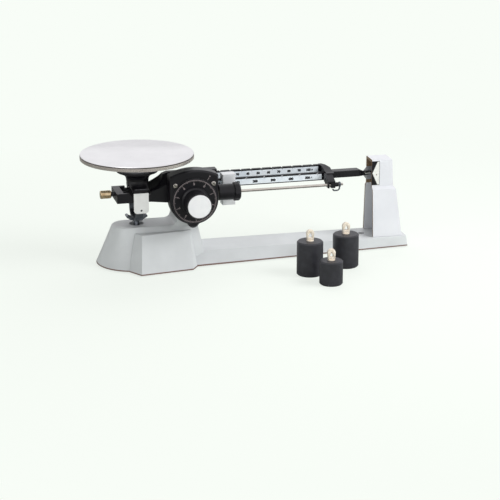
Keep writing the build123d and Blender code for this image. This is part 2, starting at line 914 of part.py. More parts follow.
def make_housing():
    body = front_prism(housing_outline(), housing_back, housing_front)
    front_edges = body.edges().filter_by(lambda edge: abs(edge.center().Y - housing_front) < 0.01)
    body = chamfer(front_edges, housing_bevel)
    body -= front_prism(tombstone(housing_wall), housing_back, housing_front + housing_wall)
    bosses = []
    for side in (-1, 1):
        x = dial_x + side * housing_screw_offset
        bosses.append(pin_across(housing_front + housing_wall / 2, housing_back - back_plate_thickness,
                                 x, housing_screw_z, housing_screw_radius + 0.8))
    body += bosses
    body -= pin_across(housing_front - 1, housing_front + 2 * housing_wall, dial_x, dial_z, shaft_radius + 1.5)
    for side in (-1, 1):
        x = dial_x + side * housing_screw_offset
        body -= pin_across(housing_front - 1, housing_back, x, housing_screw_z, housing_screw_radius / 2)
    return body - rod_along(rod_start - 1, hub_right + rod_hole_reach, rod_y, rod_z, rod_radius)


def make_back_plate():
    plate = front_prism(tombstone(housing_wall + running_gap), housing_back, housing_back - back_plate_thickness)
    plate -= pin_across(housing_front, housing_back + 1, dial_x, dial_z, bush_radius + running_gap)
    plate -= rod_along(rod_start - 1, hub_right + rod_hole_reach, rod_y, rod_z, rod_radius)
    for side in (-1, 1):
        x = dial_x + side * housing_screw_offset
        plate -= pin_across(housing_front, housing_back + 1, x, housing_screw_z, housing_screw_radius / 2)
    return plate


def make_housing_screws():
    screws = []
    for side in (-1, 1):
        x = dial_x + side * housing_screw_offset
        tip = hub_wall - casting_half
        shank = pin_across(housing_front, tip, x, housing_screw_z, housing_screw_radius / 2)
        face = housing_front - housing_screw_head
        head = turned_facing(x, housing_screw_z, (housing_front, 0), (housing_front, housing_screw_radius),
                             (face + 0.5, housing_screw_radius), (face, housing_screw_radius - 0.7), (face, 0))
        slot = Pos(x, face, housing_screw_z) * Rot(0, 40, 0) * Box(2 * housing_screw_radius, 1.4, 0.8)
        screws.append(shank + head - slot)
    return Part() + screws


# Dial group

def make_dial():
    back = housing_front - free_gap
    front = back - dial_thickness
    bore = shaft_radius + running_gap
    return turned_facing(dial_x, dial_z, (back, bore), (back, dial_radius), (front + dial_bevel, dial_radius),
                         (front, dial_radius - dial_bevel), (front, bore))


def make_knob():
    base = housing_front - free_gap - dial_thickness
    front = knob_front
    seat = cap_seat()
    bore = shaft_radius + running_gap
    recess = cap_radius + running_gap
    return turned_facing(
        dial_x, dial_z, (base, bore), (base, knob_radius + knob_skirt), (base - 1.6, knob_radius + knob_skirt - 0.4),
        (base - 2.6, knob_waist), (front + knob_band + 1, knob_waist), (front + knob_band, knob_radius),
        (front + 1, knob_radius), (front, knob_radius - 0.9), (front, recess), (seat, recess), (seat, bore))


def cap_seat():
    return knob_front + cap_recess


def make_cap():
    seat = cap_seat()
    face = knob_front - cap_proud
    return turned_facing(dial_x, dial_z, (seat, 0), (seat, cap_radius), (face + 0.5, cap_radius),
                         (face, cap_radius - 0.6), (face, 0))


def make_shaft():
    tip = hub_wall - casting_half - free_gap
    seat = cap_seat()
    return pin_across(seat, tip, dial_x, dial_z, shaft_radius)


def make_bush():
    front = housing_back - back_plate_thickness - 1
    return turned_facing(dial_x, dial_z, (front, shaft_radius + running_gap), (front, bush_radius),
                         (hub_wall - casting_half, bush_radius),
                         (hub_wall - casting_half, shaft_radius + running_gap))


# Tare rod, its poise and the hanger

def make_rod():
    return turned_along(
        rod_y, rod_z, (rod_start, 0), (rod_start, rod_radius), (bracket_right + nut_length, rod_radius),
        (bracket_right + nut_length + 0.4, rod_radius * 0.6), (rod_end, rod_radius * 0.6),
        (rod_end + 0.5, rod_ball_radius * 0.9), (rod_end + 1.6, rod_ball_radius), (rod_end + 2.8, rod_ball_radius * 0.8),
        (rod_end + 3.4, 0))


def make_rod_nut():
    left = bracket_right
    right = bracket_right + nut_length
    return turned_along(rod_y, rod_z, (left, rod_radius), (left, nut_radius), (right - nut_bevel, nut_radius),
                        (right, nut_radius - nut_bevel), (right, rod_radius))


def make_tare_poise():
    left = tare_left
    right = tare_left + tare_length
    return turned_along(rod_y, rod_z, (left, rod_radius + running_gap), (left, tare_radius - 0.8),
                        (left + 0.8, tare_radius), (right, tare_radius), (right, rod_radius + running_gap))


def make_tare_grip():
    left = tare_left + tare_length
    right = left + grip_length
    ring = extrude(Plane.YZ.offset(left) * RegularPolygon(grip_radius, grip_flat_count), grip_length)
    ring &= turned_along(0, 0, (left, 0), (left, grip_radius - 0.9), (left + 0.9, grip_radius),
                         (right - 2.4, grip_radius), (right, grip_radius - 2.4), (right, 0))
    ring -= rod_along(left - 1, right + 1, 0, 0, rod_radius + running_gap)
    return Pos(0, rod_y, rod_z) * ring


def make_hanger():
    eye = turned_along(rod_y, rod_z, (hook_eye_x - hook_wire, rod_radius * 0.6 + 2 * running_gap),
                       (hook_eye_x - hook_wire, rod_radius + 1.6), (hook_eye_x + hook_wire, rod_radius + 1.6),
                       (hook_eye_x + hook_wire, rod_radius * 0.6 + 2 * running_gap))
    top = rod_z - rod_radius - 1.2
    bend = top - hook_drop
    low = bend - hook_radius
    middle = hook_eye_x - hook_radius
    path = Polyline((hook_eye_x, top), (hook_eye_x, bend))
    path += ThreePointArc((hook_eye_x, bend), (middle + hook_radius * math.sqrt(0.5), bend - hook_radius * math.sqrt(0.5)),
                          (middle, low))
    path += Line((middle, low), (middle - 3.4, low))
    path += ThreePointArc((middle - 3.4, low), (middle - 3.4 - 1.6, low + 0.7), (middle - 3.4 - 2.3, low + 2.3))
    wire = Plane.XZ.offset(-rod_y) * path
    start = Plane(origin=(hook_eye_x, rod_y, top), z_dir=(0, 0, -1))
    return eye + sweep(start * Circle(hook_wire), wire)


# Poises

def poise_body(x, half, front, back, low, high, rail_y, rail_low, rail_high):
    body = block(x - half, x + half, front, back, low, high)
    body = chamfer(body.edges().filter_by(Axis.Z), poise_bevel)
    reach = strip_half + slide_gap
    body -= block(x - 2 * half, x + 2 * half, rail_y - reach, rail_y + reach, rail_low - slide_gap,
                  rail_high + free_gap + 2 * poise_pin_radius)
    return body


def poise_pin(x, front, back, rail_high):
    z = rail_high + free_gap + poise_pin_radius
    return pin_across(front + 0.6, back - 0.6, x, z, poise_pin_radius)


def make_centre_poise():
    body = poise_body(centre_zero_x, poise_half, centre_poise_front, centre_poise_back, centre_poise_low,
                      centre_poise_high, 0, centre_rail_low, centre_rail_high)
    return body - make_centre_poise_pin()


def make_centre_poise_pin():
    return poise_pin(centre_zero_x, centre_poise_front, centre_poise_back, centre_rail_high)


def make_rear_poise():
    body = poise_body(rear_zero_x, rear_poise_half, rear_poise_front, rear_poise_back, rear_poise_low,
                      rear_poise_high, rear_rail_y, rear_rail_low, rear_rail_high)
    return body - make_rear_poise_pin()


def make_rear_poise_pin():
    return poise_pin(rear_zero_x, rear_poise_front, rear_poise_back, rear_rail_high)


# Zero adjustment

def make_zero_screw():
    left = zero_knob_left + zero_knob_length - zero_screw_grip
    return rod_along(left, zero_screw_tip, 0, zero_z, zero_screw_radius)


def make_zero_knob():
    left = zero_knob_left
    right = zero_knob_left + zero_knob_length
    knob = extrude(Plane.YZ.offset(left) * RegularPolygon(zero_knob_radius + 0.2, zero_facet_count), zero_knob_length)
    knob &= turned_along(0, 0, (left, 0), (left, zero_knob_radius - 0.7), (left + 0.7, zero_knob_radius),
                         (right - 1.6, zero_knob_radius), (right, zero_knob_radius - 1.6), (right, 0))
    knob -= rod_along(right - zero_screw_grip - running_gap, right + 1, 0, 0, zero_screw_radius + running_gap)
    return Pos(0, 0, zero_z) * knob


# Pan support

def support_plan(half, half_depth, corner, height):
    return Pos(0, 0, height) * RectangleRounded(2 * half, 2 * half_depth, corner)


def support_body(inset):
    # from the saddle over the knife edges to the round neck
    neck = neck_radius - inset
    sections = [support_plan(saddle_half - inset, saddle_outer - 3 * inset, saddle_round, saddle_high),
                support_plan(waist_half - inset, waist_half_depth - inset, waist_half - inset - 2, waist_height),
                support_plan(neck, neck, neck - 0.4, neck_height)]
    return loft(sections)


def make_support():
    trumpet = turned_upright(
        (0, neck_height), (neck_radius, neck_height), (neck_radius + 0.4, flare_height - 8.5),
        (neck_radius + 2, flare_height - 5.5), (neck_radius + 5.5, flare_height - 3),
        (neck_radius + 10, flare_height - 1), (flare_radius, flare_height),
        (flare_radius, flare_height + flare_thickness), (0, flare_height + flare_thickness))
    spigot = Pos(0, 0, flare_height + flare_thickness) * Cylinder(
        spigot_radius, spigot_height, align=(Align.CENTER, Align.CENTER, Align.MIN))
    saddle = block(-saddle_half, saddle_half, -saddle_outer, saddle_outer, saddle_low, saddle_high)
    saddle = fillet(saddle.edges().filter_by(Axis.Z), saddle_round)
    legs_gap = block(-2 * saddle_half, 2 * saddle_half, -fork_inner_half + support_wall,
                     fork_inner_half - support_wall, saddle_low - 1, saddle_high)
    bore = Pos(0, 0, neck_height) * Cylinder(
        neck_radius - support_wall, flare_height - neck_height,
        align=(Align.CENTER, Align.CENTER, Align.MIN))
    support = saddle - legs_gap + support_body(0) + trumpet + spigot - support_body(support_wall) - bore
    return support - pan_bearing_space(0)


def make_side_plate(side):
    outline = Pos(0, (side_plate_low + saddle_low) / 2) * RectangleRounded(
        2 * side_plate_half, saddle_low - side_plate_low, side_plate_corner)
    square_low = saddle_low - 1.5 * side_plate_corner
    outline += area((-side_plate_half, square_low), (side_plate_half, square_low), (side_plate_half, saddle_low),
                    (-side_plate_half, saddle_low))
    faces = (side * side_plate_outer(), side * bow_outer())
    plate = front_prism(outline, max(faces), min(faces))
    return plate - pin_across(min(faces) - 1, max(faces) + 1, 0, bow_rivet_z, bow_rivet_radius)


def side_plate_outer():
    return saddle_outer - side_plate_inset


def bow_outer():
    return side_plate_outer() - side_plate_thickness


def wing_outline():
    # a crescent with round tips, drawn in X and Z
    end = wing_half - wing_tip_radius
    tip = wing_low + wing_tip_rise
    low = ThreePointArc((-end, tip - wing_tip_radius), (0, wing_low), (end, tip - wing_tip_radius))
    right = Line((end, tip - wing_tip_radius), (end, tip + wing_tip_radius))
    high = ThreePointArc((end, tip + wing_tip_radius), (0, wing_low + wing_thickness), (-end, tip + wing_tip_radius))
    left = Line((-end, tip + wing_tip_radius), (-end, tip - wing_tip_radius))
    crescent = make_face(low + right + high + left)
    for side in (-1, 1):
        crescent += Pos(side * end, tip) * Circle(wing_tip_radius)
    return crescent


def make_bow():
    outer = bow_outer()
    inner = outer - bow_thickness
    strap = side_prism(bow_band(outer, bow_low, bow_corner), stem_x - bow_half, stem_x + bow_half)
    strap -= side_prism(bow_band(inner, bow_low + bow_thickness, bow_corner - bow_thickness),
                        stem_x - bow_half - 1, stem_x + bow_half + 1)
    wings = front_prism(wing_outline(), wing_half_depth, -wing_half_depth)
    stem_low = link_height - link_half_height - free_gap
    stem = turned_upright((0, stem_low), (stem_radius - 0.8, stem_low), (stem_radius, stem_low + 0.8),
                          (stem_radius, wing_low), (0, bow_low + bow_thickness))
    bow = strap + Pos(stem_x, 0, 0) * (wings + stem)
    bow -= pin_across(-casting_half, casting_half, stem_x, link_height, link_pin_radius)
    return bow - pin_across(-2 * casting_half, 2 * casting_half, 0, bow_rivet_z, bow_rivet_radius)


def bow_band(half, low, corner):
    # U outline in Y and Z, open at the top
    bend = corner * (1 - math.sqrt(0.5))
    left = Line((-half, bow_leg_top), (-half, low + corner))
    turn = ThreePointArc((-half, low + corner), (-half + bend, low + bend), (-half + corner, low))
    floor = Line((-half + corner, low), (half - corner, low))
    back = ThreePointArc((half - corner, low), (half - bend, low + bend), (half, low + corner))
    right = Line((half, low + corner), (half, bow_leg_top))
    top = Line((half, bow_leg_top), (-half, bow_leg_top))
    return make_face(left + turn + floor + back + right + top)


def make_bow_rivets():
    outer = side_plate_outer() - rivet_recess
    inner = bow_outer() - bow_thickness
    rivets = []
    for side in (-1, 1):
        ends = (side * outer, side * inner)
        rivets.append(pin_across(min(ends), max(ends), 0, bow_rivet_z, bow_rivet_radius))
    return Part() + rivets


def make_stem_pin():
    reach = stem_radius + free_gap + link_tine
    return pin_across(-reach, reach, stem_x, link_height, link_pin_radius)


# Pan

def make_pan_plate():
    under = pan_top - pan_sheet
    low = pan_top - pan_rim
    inner = pan_radius - pan_sheet
    return turned_upright(
        (0, under), (inner - 1.2, under), (inner, under - 1), (inner, low + 1), (inner - 2.4, low + 0.7),
        (inner - 2.4, low), (pan_radius - 0.6, low), (pan_radius, low + 0.6),
        (pan_radius, pan_top - 2.6), (pan_radius - 0.7, pan_top - 2.0), (pan_radius - 0.2, pan_top - 1.2),
        (pan_radius - 0.5, pan_top - 0.3), (pan_radius - 1.2, pan_top), (0, pan_top))


def make_pan_hub():
    top = pan_top - pan_sheet
    low = flare_height + flare_thickness
    bore = spigot_radius + running_gap
    return turned_upright(
        (bore, low), (hub_cup_radius, low), (hub_cup_radius + 2, top - hub_sheet), (hub_flange_radius, top - hub_sheet),
        (hub_flange_radius, top), (hub_cup_radius, top), (hub_cup_radius - hub_sheet, low + 2 * hub_sheet),
        (bore + hub_sheet, low + 2 * hub_sheet), (bore + hub_sheet, low + spigot_height), (bore, low + spigot_height))


# Attachment weights

def make_weight(place):
    x, y, radius, height = place
    return Pos(x, y, 0) * turned_upright((0, 0), (radius - weight_bevel, 0), (radius, weight_bevel),
                                         (radius, height - weight_bevel), (radius - weight_bevel, height), (0, height))


def eye_outline(base, band):
    # a triangular loop with a round top, drawn in X and Z
    tip = base + eye_height - eye_seat_height - eye_tip_radius
    corner = eye_half - eye_corner
    loop = Pos(0, tip) * Circle(eye_tip_radius - band)
    for side in (-1, 1):
        loop += Pos(side * corner, base + eye_corner) * Circle(eye_corner - band)
    loop += area((-eye_half + band, base + eye_corner), (-corner, base + band), (corner, base + band),
                 (eye_half - band, base + eye_corner), (eye_tip_radius - band, tip),
                 (-eye_tip_radius + band, tip))
    return loop


def make_eye(place):
    x, y, radius, height = place
    base = height + eye_seat_height
    seat = turned_upright((0, height), (eye_seat_radius, height), (eye_seat_radius, base), (0, base))
    loop = eye_outline(base, 0) - eye_outline(base, eye_band)
    return Pos(x, y, 0) * (seat + front_prism(loop, eye_thickness / 2, -eye_thickness / 2))


# Export

def set_origin():
    # middle of the footprint of the whole set, on the table
    fronts = []
    for x, y, radius, height in weight_table.values():
        fronts.append(y - radius)
    middle_x = (bar_end_x - pan_radius) / 2
    middle_y = (min(fronts) + pan_radius) / 2
    return Location((-middle_x, -middle_y, 0))


def all_pieces():
    pieces = {
        "base_casting": make_base(),
        "rubber_feet": make_feet(),
        "check_link_pin": make_link_pin(),
        "main_bearing_front": make_main_bearing(-1),
        "main_bearing_rear": make_main_bearing(1),
        "pointer_tower": make_tower(),
        "tower_screws": make_tower_screws(),
        "index_plate": make_index_plate(),
        "index_rivet": make_index_rivet(),
        "damper_yoke": make_yoke(),
        "damper_magnet_front": make_magnet(-1),
        "damper_magnet_rear": make_magnet(1),
        "yoke_screw": make_yoke_screw(),
        "beam_casting": make_beam(),
        "main_knife_edge": main_knife_shape(0),
        "pan_knife_edges": make_pan_knives(),
        "rear_scale_plate": make_rear_scale(),
        "centre_scale_plate": make_centre_scale(),
        "damping_vane": make_vane(),
        "vane_rivets": make_vane_rivets(),
        "dial_housing": make_housing(),
        "housing_back_plate": make_back_plate(),
        "housing_screws": make_housing_screws(),
        "dial_bush": make_bush(),
        "tare_rod": make_rod(),
        "rod_nut": make_rod_nut(),
        "dial_disc": make_dial(),
        "dial_knob": make_knob(),
        "dial_cap": make_cap(),
        "dial_shaft": make_shaft(),
        "tare_poise": make_tare_poise(),
        "tare_grip": make_tare_grip(),
        "weight_hanger": make_hanger(),
        "centre_poise": make_centre_poise(),
        "centre_poise_pin": make_centre_poise_pin(),
        "rear_poise": make_rear_poise(),
        "rear_poise_pin": make_rear_poise_pin(),
        "zero_screw": make_zero_screw(),
        "zero_knob": make_zero_knob(),
        "pan_support": make_support(),
        "pan_bearings": make_pan_bearings(),
        "side_plate_front": make_side_plate(-1),
        "side_plate_rear": make_side_plate(1),
        "lower_bow": make_bow(),
        "bow_rivets": make_bow_rivets(),
        "stem_pin": make_stem_pin(),
        "check_link": make_link(),
        "pan_plate": make_pan_plate(),
        "pan_hub": make_pan_hub(),
    }
    for name, place in weight_table.items():
        pieces[name] = make_weight(place)
        pieces[name + "_eye"] = make_eye(place)
    return pieces


os.makedirs("parts", exist_ok=True)
origin = set_origin()
for name, piece in all_pieces().items():
    export_step(origin * piece, f"parts/{name}.step")
    print(name, round(piece.volume, 1))
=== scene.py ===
import math

import bpy
from mathutils import Matrix, Vector


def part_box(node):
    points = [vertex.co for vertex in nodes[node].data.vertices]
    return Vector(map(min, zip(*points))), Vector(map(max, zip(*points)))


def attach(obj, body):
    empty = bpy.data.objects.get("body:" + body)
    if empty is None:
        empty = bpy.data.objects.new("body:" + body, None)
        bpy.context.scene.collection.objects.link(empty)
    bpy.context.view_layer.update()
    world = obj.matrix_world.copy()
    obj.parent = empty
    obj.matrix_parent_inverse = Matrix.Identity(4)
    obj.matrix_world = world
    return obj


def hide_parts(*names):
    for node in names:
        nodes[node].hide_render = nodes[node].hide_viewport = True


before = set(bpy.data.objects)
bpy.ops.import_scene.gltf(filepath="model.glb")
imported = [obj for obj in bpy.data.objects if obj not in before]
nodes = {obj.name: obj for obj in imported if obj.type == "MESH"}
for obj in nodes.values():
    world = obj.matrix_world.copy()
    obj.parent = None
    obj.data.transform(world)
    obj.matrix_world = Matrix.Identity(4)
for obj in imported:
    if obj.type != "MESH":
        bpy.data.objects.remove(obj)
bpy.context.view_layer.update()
mm = 0.001
print("frame loaded")


# Colours, nodes and materials

# shared by every finish: how far its clouds and its grain are spread
surface = {"cloudDetail": 3.0, "cloudRange": (0.35, 0.65), "grainDetail": 4.0, "grainRough": 0.6,
           "grainRange": (0.3, 0.7), "edgeSamples": 4}


def linearColour(hexText):
    channels = []
    for start in (0, 2, 4):
        value = int(hexText[start:start + 2], 16) / 255
        channels.append(value / 12.92 if value <= 0.04045 else ((value + 0.055) / 1.055) ** 2.4)
    return (*channels, 1)


def addNode(tree, kind, settings, links):
    node = tree.nodes.new(kind)
    for name, value in settings.items():
        if name in node.inputs:
            node.inputs[name].default_value = value
        else:
            setattr(node, name, value)
    for name, source in links.items():
        tree.links.new(source, node.inputs[name])
    return node


def clearedTree(owner):
    owner.use_nodes = True
    owner.node_tree.nodes.clear()
    return owner.node_tree


def footColour(tree, foot, place, colour):
    # painted shade: a brown band along a casting's bottom edge, for the shadow in the gap above the
    # floor
    upright = addNode(tree, "ShaderNodeSeparateXYZ", {}, {"Vector": place}).outputs["Z"]
    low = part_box(foot["node"])[0].z + foot["heightMm"] * mm
    shaded = addNode(tree, "ShaderNodeMapRange",
                   {"From Min": low, "From Max": low + foot["softMm"] * mm,
                    "To Min": 1.0, "To Max": 0.0},
                   {"Value": upright}).outputs["Result"]
    return addNode(tree, "ShaderNodeMixRGB", {"Color2": linearColour(foot["colour"])},
                   {"Fac": shaded, "Color1": colour}).outputs["Color"]


def makeMaterial(name, look):
    material = bpy.data.materials.new(name)
    tree = clearedTree(material)
    place = addNode(tree, "ShaderNodeTexCoord", {}, {}).outputs["Object"]
    stretched = addNode(tree, "ShaderNodeMapping", {"Scale": look.get("stretch", (1, 1, 1))},
                        {"Vector": place}).outputs["Vector"]
    cloud = addNode(tree, "ShaderNodeTexNoise",
                    {"Scale": 1 / (look["cloudMm"] * mm), "Detail": surface["cloudDetail"]},
                    {"Vector": place}).outputs["Fac"]
    grain = addNode(tree, "ShaderNodeTexNoise",
                    {"Scale": 1 / (look["grainMm"] * mm), "Detail": surface["grainDetail"],
                     "Roughness": surface["grainRough"]},
                    {"Vector": stretched}).outputs["Fac"]
    cloudLow, cloudHigh = surface["cloudRange"]
    spread = addNode(tree, "ShaderNodeMapRange", {"From Min": cloudLow, "From Max": cloudHigh},
                     {"Value": cloud}).outputs["Result"]
    colour = addNode(tree, "ShaderNodeMixRGB",
                     {"Color1": linearColour(look["colour"]),
                      "Color2": linearColour(look["shade"])},
                     {"Fac": spread}).outputs["Color"]
    if "foot" in look:
        colour = footColour(tree, look["foot"], place, colour)
    grainLow, grainHigh = surface["grainRange"]
    smooth, coarse = look["rough"]
    rough = addNode(tree, "ShaderNodeMapRange",
                    {"From Min": grainLow, "From Max": grainHigh,
                     "To Min": smooth, "To Max": coarse},
                    {"Value": grain}).outputs["Result"]
    edge = addNode(tree, "ShaderNodeBevel",
                   {"Radius": look["edgeMm"] * mm, "samples": surface["edgeSamples"]},
                   {}).outputs["Normal"]
    relief = addNode(tree, "ShaderNodeBump", {"Strength": 1.0, "Distance": look["reliefMm"] * mm},
                     {"Height": grain, "Normal": edge}).outputs["Normal"]
    shader = addNode(tree, "ShaderNodeBsdfPrincipled", {"Metallic": look.get("metallic", 0.0)},
                     {"Base Color": colour, "Roughness": rough, "Normal": relief})
    for socket, value in look.get("sockets", {}).items():
        shader.inputs[socket].default_value = value
    addNode(tree, "ShaderNodeOutputMaterial", {}, {"Surface": shader.outputs["BSDF"]})
    material.diffuse_color = linearColour(look["colour"])
    return material


finishLooks = {
    # stoved enamel on cast iron: even cool grey, a soft sheen with very fine orange peel
    "stovedEnamel": {"colour": "D3D6D8", "shade": "CBCED0", "cloudMm": 38, "grainMm": 1.6,
                     "rough": (0.34, 0.44), "reliefMm": 0.012, "edgeMm": 0.9,
                     # painted shade: a brown band at the casting's bottom edge, for the shadow of
                     # the gap over the floor
                     "foot": {"node": "base_casting", "heightMm": 1.1, "softMm": 0.5,
                              "colour": "6F5147"}},
    # tower: a smoother casting in the same enamel; its paler colour is painted light
    "paleLitEnamel": {"colour": "E3E4E9", "shade": "DCDDE3", "cloudMm": 45, "grainMm": 1.4,
                     "rough": (0.32, 0.42), "reliefMm": 0.01, "edgeMm": 0.8},
    # satin black enamel on die castings: deep black with a broad soft highlight
    "satinBlack": {"colour": "0E0D11", "shade": "141318", "cloudMm": 22, "grainMm": 0.9,
                   "rough": (0.3, 0.42), "reliefMm": 0.012, "edgeMm": 0.6,
                   "sockets": {"Specular IOR Level": 0.4}},
    # moulded phenolic: black, a touch softer than the enamel
    "mouldedBlack": {"colour": "0F0E12", "shade": "151419", "cloudMm": 14, "grainMm": 0.5,
                     "rough": (0.28, 0.4), "reliefMm": 0.006, "edgeMm": 0.4,
                     "sockets": {"Specular IOR Level": 0.36}},
    # anodised plate printed pale blue, with hardly any gloss
    "printedPlate": {"colour": "EEF4FA", "shade": "E2EBF4", "cloudMm": 18, "grainMm": 0.4,
                     "rough": (0.42, 0.52), "reliefMm": 0.003, "edgeMm": 0.1},
    # black ink of the beam scales, also used for the painted shade of the screw slots
    "inkAndSlotShade": {"colour": "17181B", "shade": "1E2024", "cloudMm": 3, "grainMm": 0.2,
                 "rough": (0.5, 0.6), "reliefMm": 0.002, "edgeMm": 0.02},
    "palePaint": {"colour": "E9E9E6", "shade": "DEDED9", "cloudMm": 3, "grainMm": 0.2,
                  "rough": (0.45, 0.6), "reliefMm": 0.002, "edgeMm": 0.02},
    # dial marks are filled engraving, dulled by handling
    "fillPaint": {"colour": "A39799", "shade": "93888A", "cloudMm": 4, "grainMm": 0.2,
                  "rough": (0.5, 0.65), "reliefMm": 0.002, "edgeMm": 0.02},
    # satin stainless, brushed upright, as on the side plates
    "brushedSteel": {"colour": "F2F2F1", "shade": "E9E9E8", "cloudMm": 14, "grainMm": 0.5,
                     "metallic": 0.2, "stretch": (1, 1, 0.06), "rough": (0.4, 0.52),
                     "reliefMm": 0.003, "edgeMm": 0.25},
    # dull blue-grey steel of the pressed lower bow and the check link
    "pressedSteel": {"colour": "7E8389", "shade": "61666C", "cloudMm": 9, "grainMm": 0.7,
                     "metallic": 1.0, "rough": (0.3, 0.45), "reliefMm": 0.008, "edgeMm": 0.5},
    # ground and hardened knife edges and pins
    "groundSteel": {"colour": "B4B5B8", "shade": "9FA0A4", "cloudMm": 8, "grainMm": 0.25,
                    "metallic": 1.0, "stretch": (1, 0.08, 1), "rough": (0.18, 0.28),
                    "reliefMm": 0.002, "edgeMm": 0.1},
    # bright nickel plating on the rod, rivets and screws
    "nickelPlate": {"colour": "D6D0C9", "shade": "C8C1B9", "cloudMm": 12, "grainMm": 0.6,
                    "metallic": 1.0, "rough": (0.1, 0.18), "reliefMm": 0.001, "edgeMm": 0.15},
    # the pan's pressed stainless: fine satin top
    "panSteel": {"colour": "F2F1F2", "shade": "ECEBEC", "cloudMm": 30, "grainMm": 0.8,
                 "metallic": 1.0, "rough": (0.26, 0.36), "reliefMm": 0.002, "edgeMm": 0.5},
    # white enamel of the centre poise
    "whiteEnamel": {"colour": "E7E8EB", "shade": "DDDFE3", "cloudMm": 12, "grainMm": 0.8,
                    "rough": (0.3, 0.4), "reliefMm": 0.008, "edgeMm": 0.6},
    # turned brass, gone a little warm and dull
    "turnedBrass": {"colour": "EBD4AE", "shade": "C8AC84", "cloudMm": 4, "grainMm": 0.4,
                    "metallic": 1.0, "rough": (0.2, 0.32), "reliefMm": 0.004, "edgeMm": 0.3},
    # plated eyes of the loose weights: pale, warm and bright
    "paleBrass": {"colour": "FAF1E4", "shade": "EADBC6", "cloudMm": 3, "grainMm": 0.5,
                  "metallic": 0.15, "rough": (0.24, 0.36), "reliefMm": 0.006, "edgeMm": 0.4},
    # painted shade: dull slate grey on the tower's inner end wall, for the shade inside it
    "paintedShadeSlate": {"colour": "4B505C", "shade": "565B66", "cloudMm": 16, "grainMm": 1.1,
                   "rough": (0.5, 0.62), "reliefMm": 0.02, "edgeMm": 0.5},
    # red-brown: primer worn bare on the walls' trimmed edges, painted shade on the head's inner
    # wall
    "wornPrimerAndShade": {"colour": "8E7458", "shade": "7B654D", "cloudMm": 9, "grainMm": 0.8,
                   "rough": (0.5, 0.62), "reliefMm": 0.015, "edgeMm": 0.3},
    # painted shade: dark brown on the faces of the pan's rolled groove, for the shadow in it
    "grooveShadeSteel": {"colour": "655D59", "shade": "554E4B", "cloudMm": 12, "grainMm": 0.6,
                    "metallic": 0.6, "rough": (0.4, 0.5), "reliefMm": 0.003, "edgeMm": 0.2},
    # the pan's turned-down rim, the same steel as its top, tinted warmer: a painted reflection
    "rimReflectionSteel": {"colour": "FAF0EA", "shade": "E9DED8", "cloudMm": 30, "grainMm": 0.6,
                 "metallic": 1.0, "rough": (0.22, 0.32), "reliefMm": 0.002, "edgeMm": 0.2},
    # painted highlight: pale metal marks at the notches, for light glinting on their faces
    "notchHighlightMetal": {"colour": "DFDFE2", "shade": "CFCFD3", "cloudMm": 2, "grainMm": 0.3,
                 "metallic": 0.3, "rough": (0.3, 0.4), "reliefMm": 0.002, "edgeMm": 0.05},
    "darkFerrite": {"colour": "4A4B4E", "shade": "3C3D40", "cloudMm": 5, "grainMm": 0.5,
                    "metallic": 1.0, "rough": (0.4, 0.55), "reliefMm": 0.006, "edgeMm": 0.2},
    "blackRubber": {"colour": "1A1A1A", "shade": "222222", "cloudMm": 6, "grainMm": 0.6,
                    "rough": (0.6, 0.75), "reliefMm": 0.02, "edgeMm": 0.3},
    # wrinkle coat on the cast weights: matt charcoal with a fine pimpled skin
    "wrinkleCoat": {"colour": "29292E", "shade": "313137", "cloudMm": 8, "grainMm": 0.75,
                    "rough": (0.36, 0.5), "reliefMm": 0.14, "edgeMm": 0.4},
    # cast and turned aluminium of the pan hub and vane
    "turnedAluminium": {"colour": "C4C5C7", "shade": "B3B4B7", "cloudMm": 10, "grainMm": 0.4,
                        "metallic": 1.0, "rough": (0.3, 0.42), "reliefMm": 0.004, "edgeMm": 0.3},
    # silver lacquered cap of the dial knob, nearly white
    "silverCap": {"colour": "EDEDEF", "shade": "E7E7EA", "cloudMm": 9, "grainMm": 0.4,
                  "rough": (0.3, 0.4), "reliefMm": 0.002, "edgeMm": 0.3},
}
finishes = {name: makeMaterial(name, look) for name, look in finishLooks.items()}
print("materials made")

nodeFinishes = {
    "stovedEnamel": ["base_casting"],
    "paleLitEnamel": ["pointer_tower"],
    "satinBlack": ["beam_casting", "dial_housing", "housing_back_plate", "rear_poise",
                   "pan_support"],
    "mouldedBlack": ["dial_disc", "dial_knob", "tare_poise", "tare_grip", "rod_nut",
                     "index_plate"],
    "printedPlate": ["rear_scale_plate", "centre_scale_plate"],
    "brushedSteel": ["side_plate_front", "side_plate_rear", "damper_yoke"],
    "pressedSteel": ["lower_bow", "check_link"],
    "groundSteel": ["check_link_pin", "main_bearing_front", "main_bearing_rear", "main_knife_edge",
                    "pan_knife_edges", "dial_shaft", "centre_poise_pin", "rear_poise_pin",
                    "pan_bearings", "stem_pin"],
    "nickelPlate": ["index_rivet", "vane_rivets", "tare_rod", "weight_hanger", "tower_screws",
                    "yoke_screw", "housing_screws"],
    "panSteel": ["pan_plate"],
    "whiteEnamel": ["centre_poise"],
    "turnedBrass": ["zero_knob", "dial_bush"],
    "paleBrass": ["weight_1_eye", "weight_2_eye", "small_weight_eye"],
    "darkFerrite": ["damper_magnet_front", "damper_magnet_rear", "zero_screw", "bow_rivets"],
    "blackRubber": ["rubber_feet"],
    "wrinkleCoat": ["weight_1", "weight_2", "small_weight"],
    "turnedAluminium": ["damping_vane", "pan_hub"],
    "silverCap": ["dial_cap"],
}
for finish, members in nodeFinishes.items():
    for node in members:
        slots = nodes[node].data.materials
        slots.clear()
        slots.append(finishes[finish])
print("CAD nodes finished")


# Tools of the bench, with the numbers they share

bench = {"mergeMm": 0.002, "markSegments": 2, "fontSteps": 4, "discSides": 48, "ringSides": 96}
faceOn = Matrix.Rotation(math.radians(90), 4, "X")  # a mark drawn in X and Y now faces the viewer


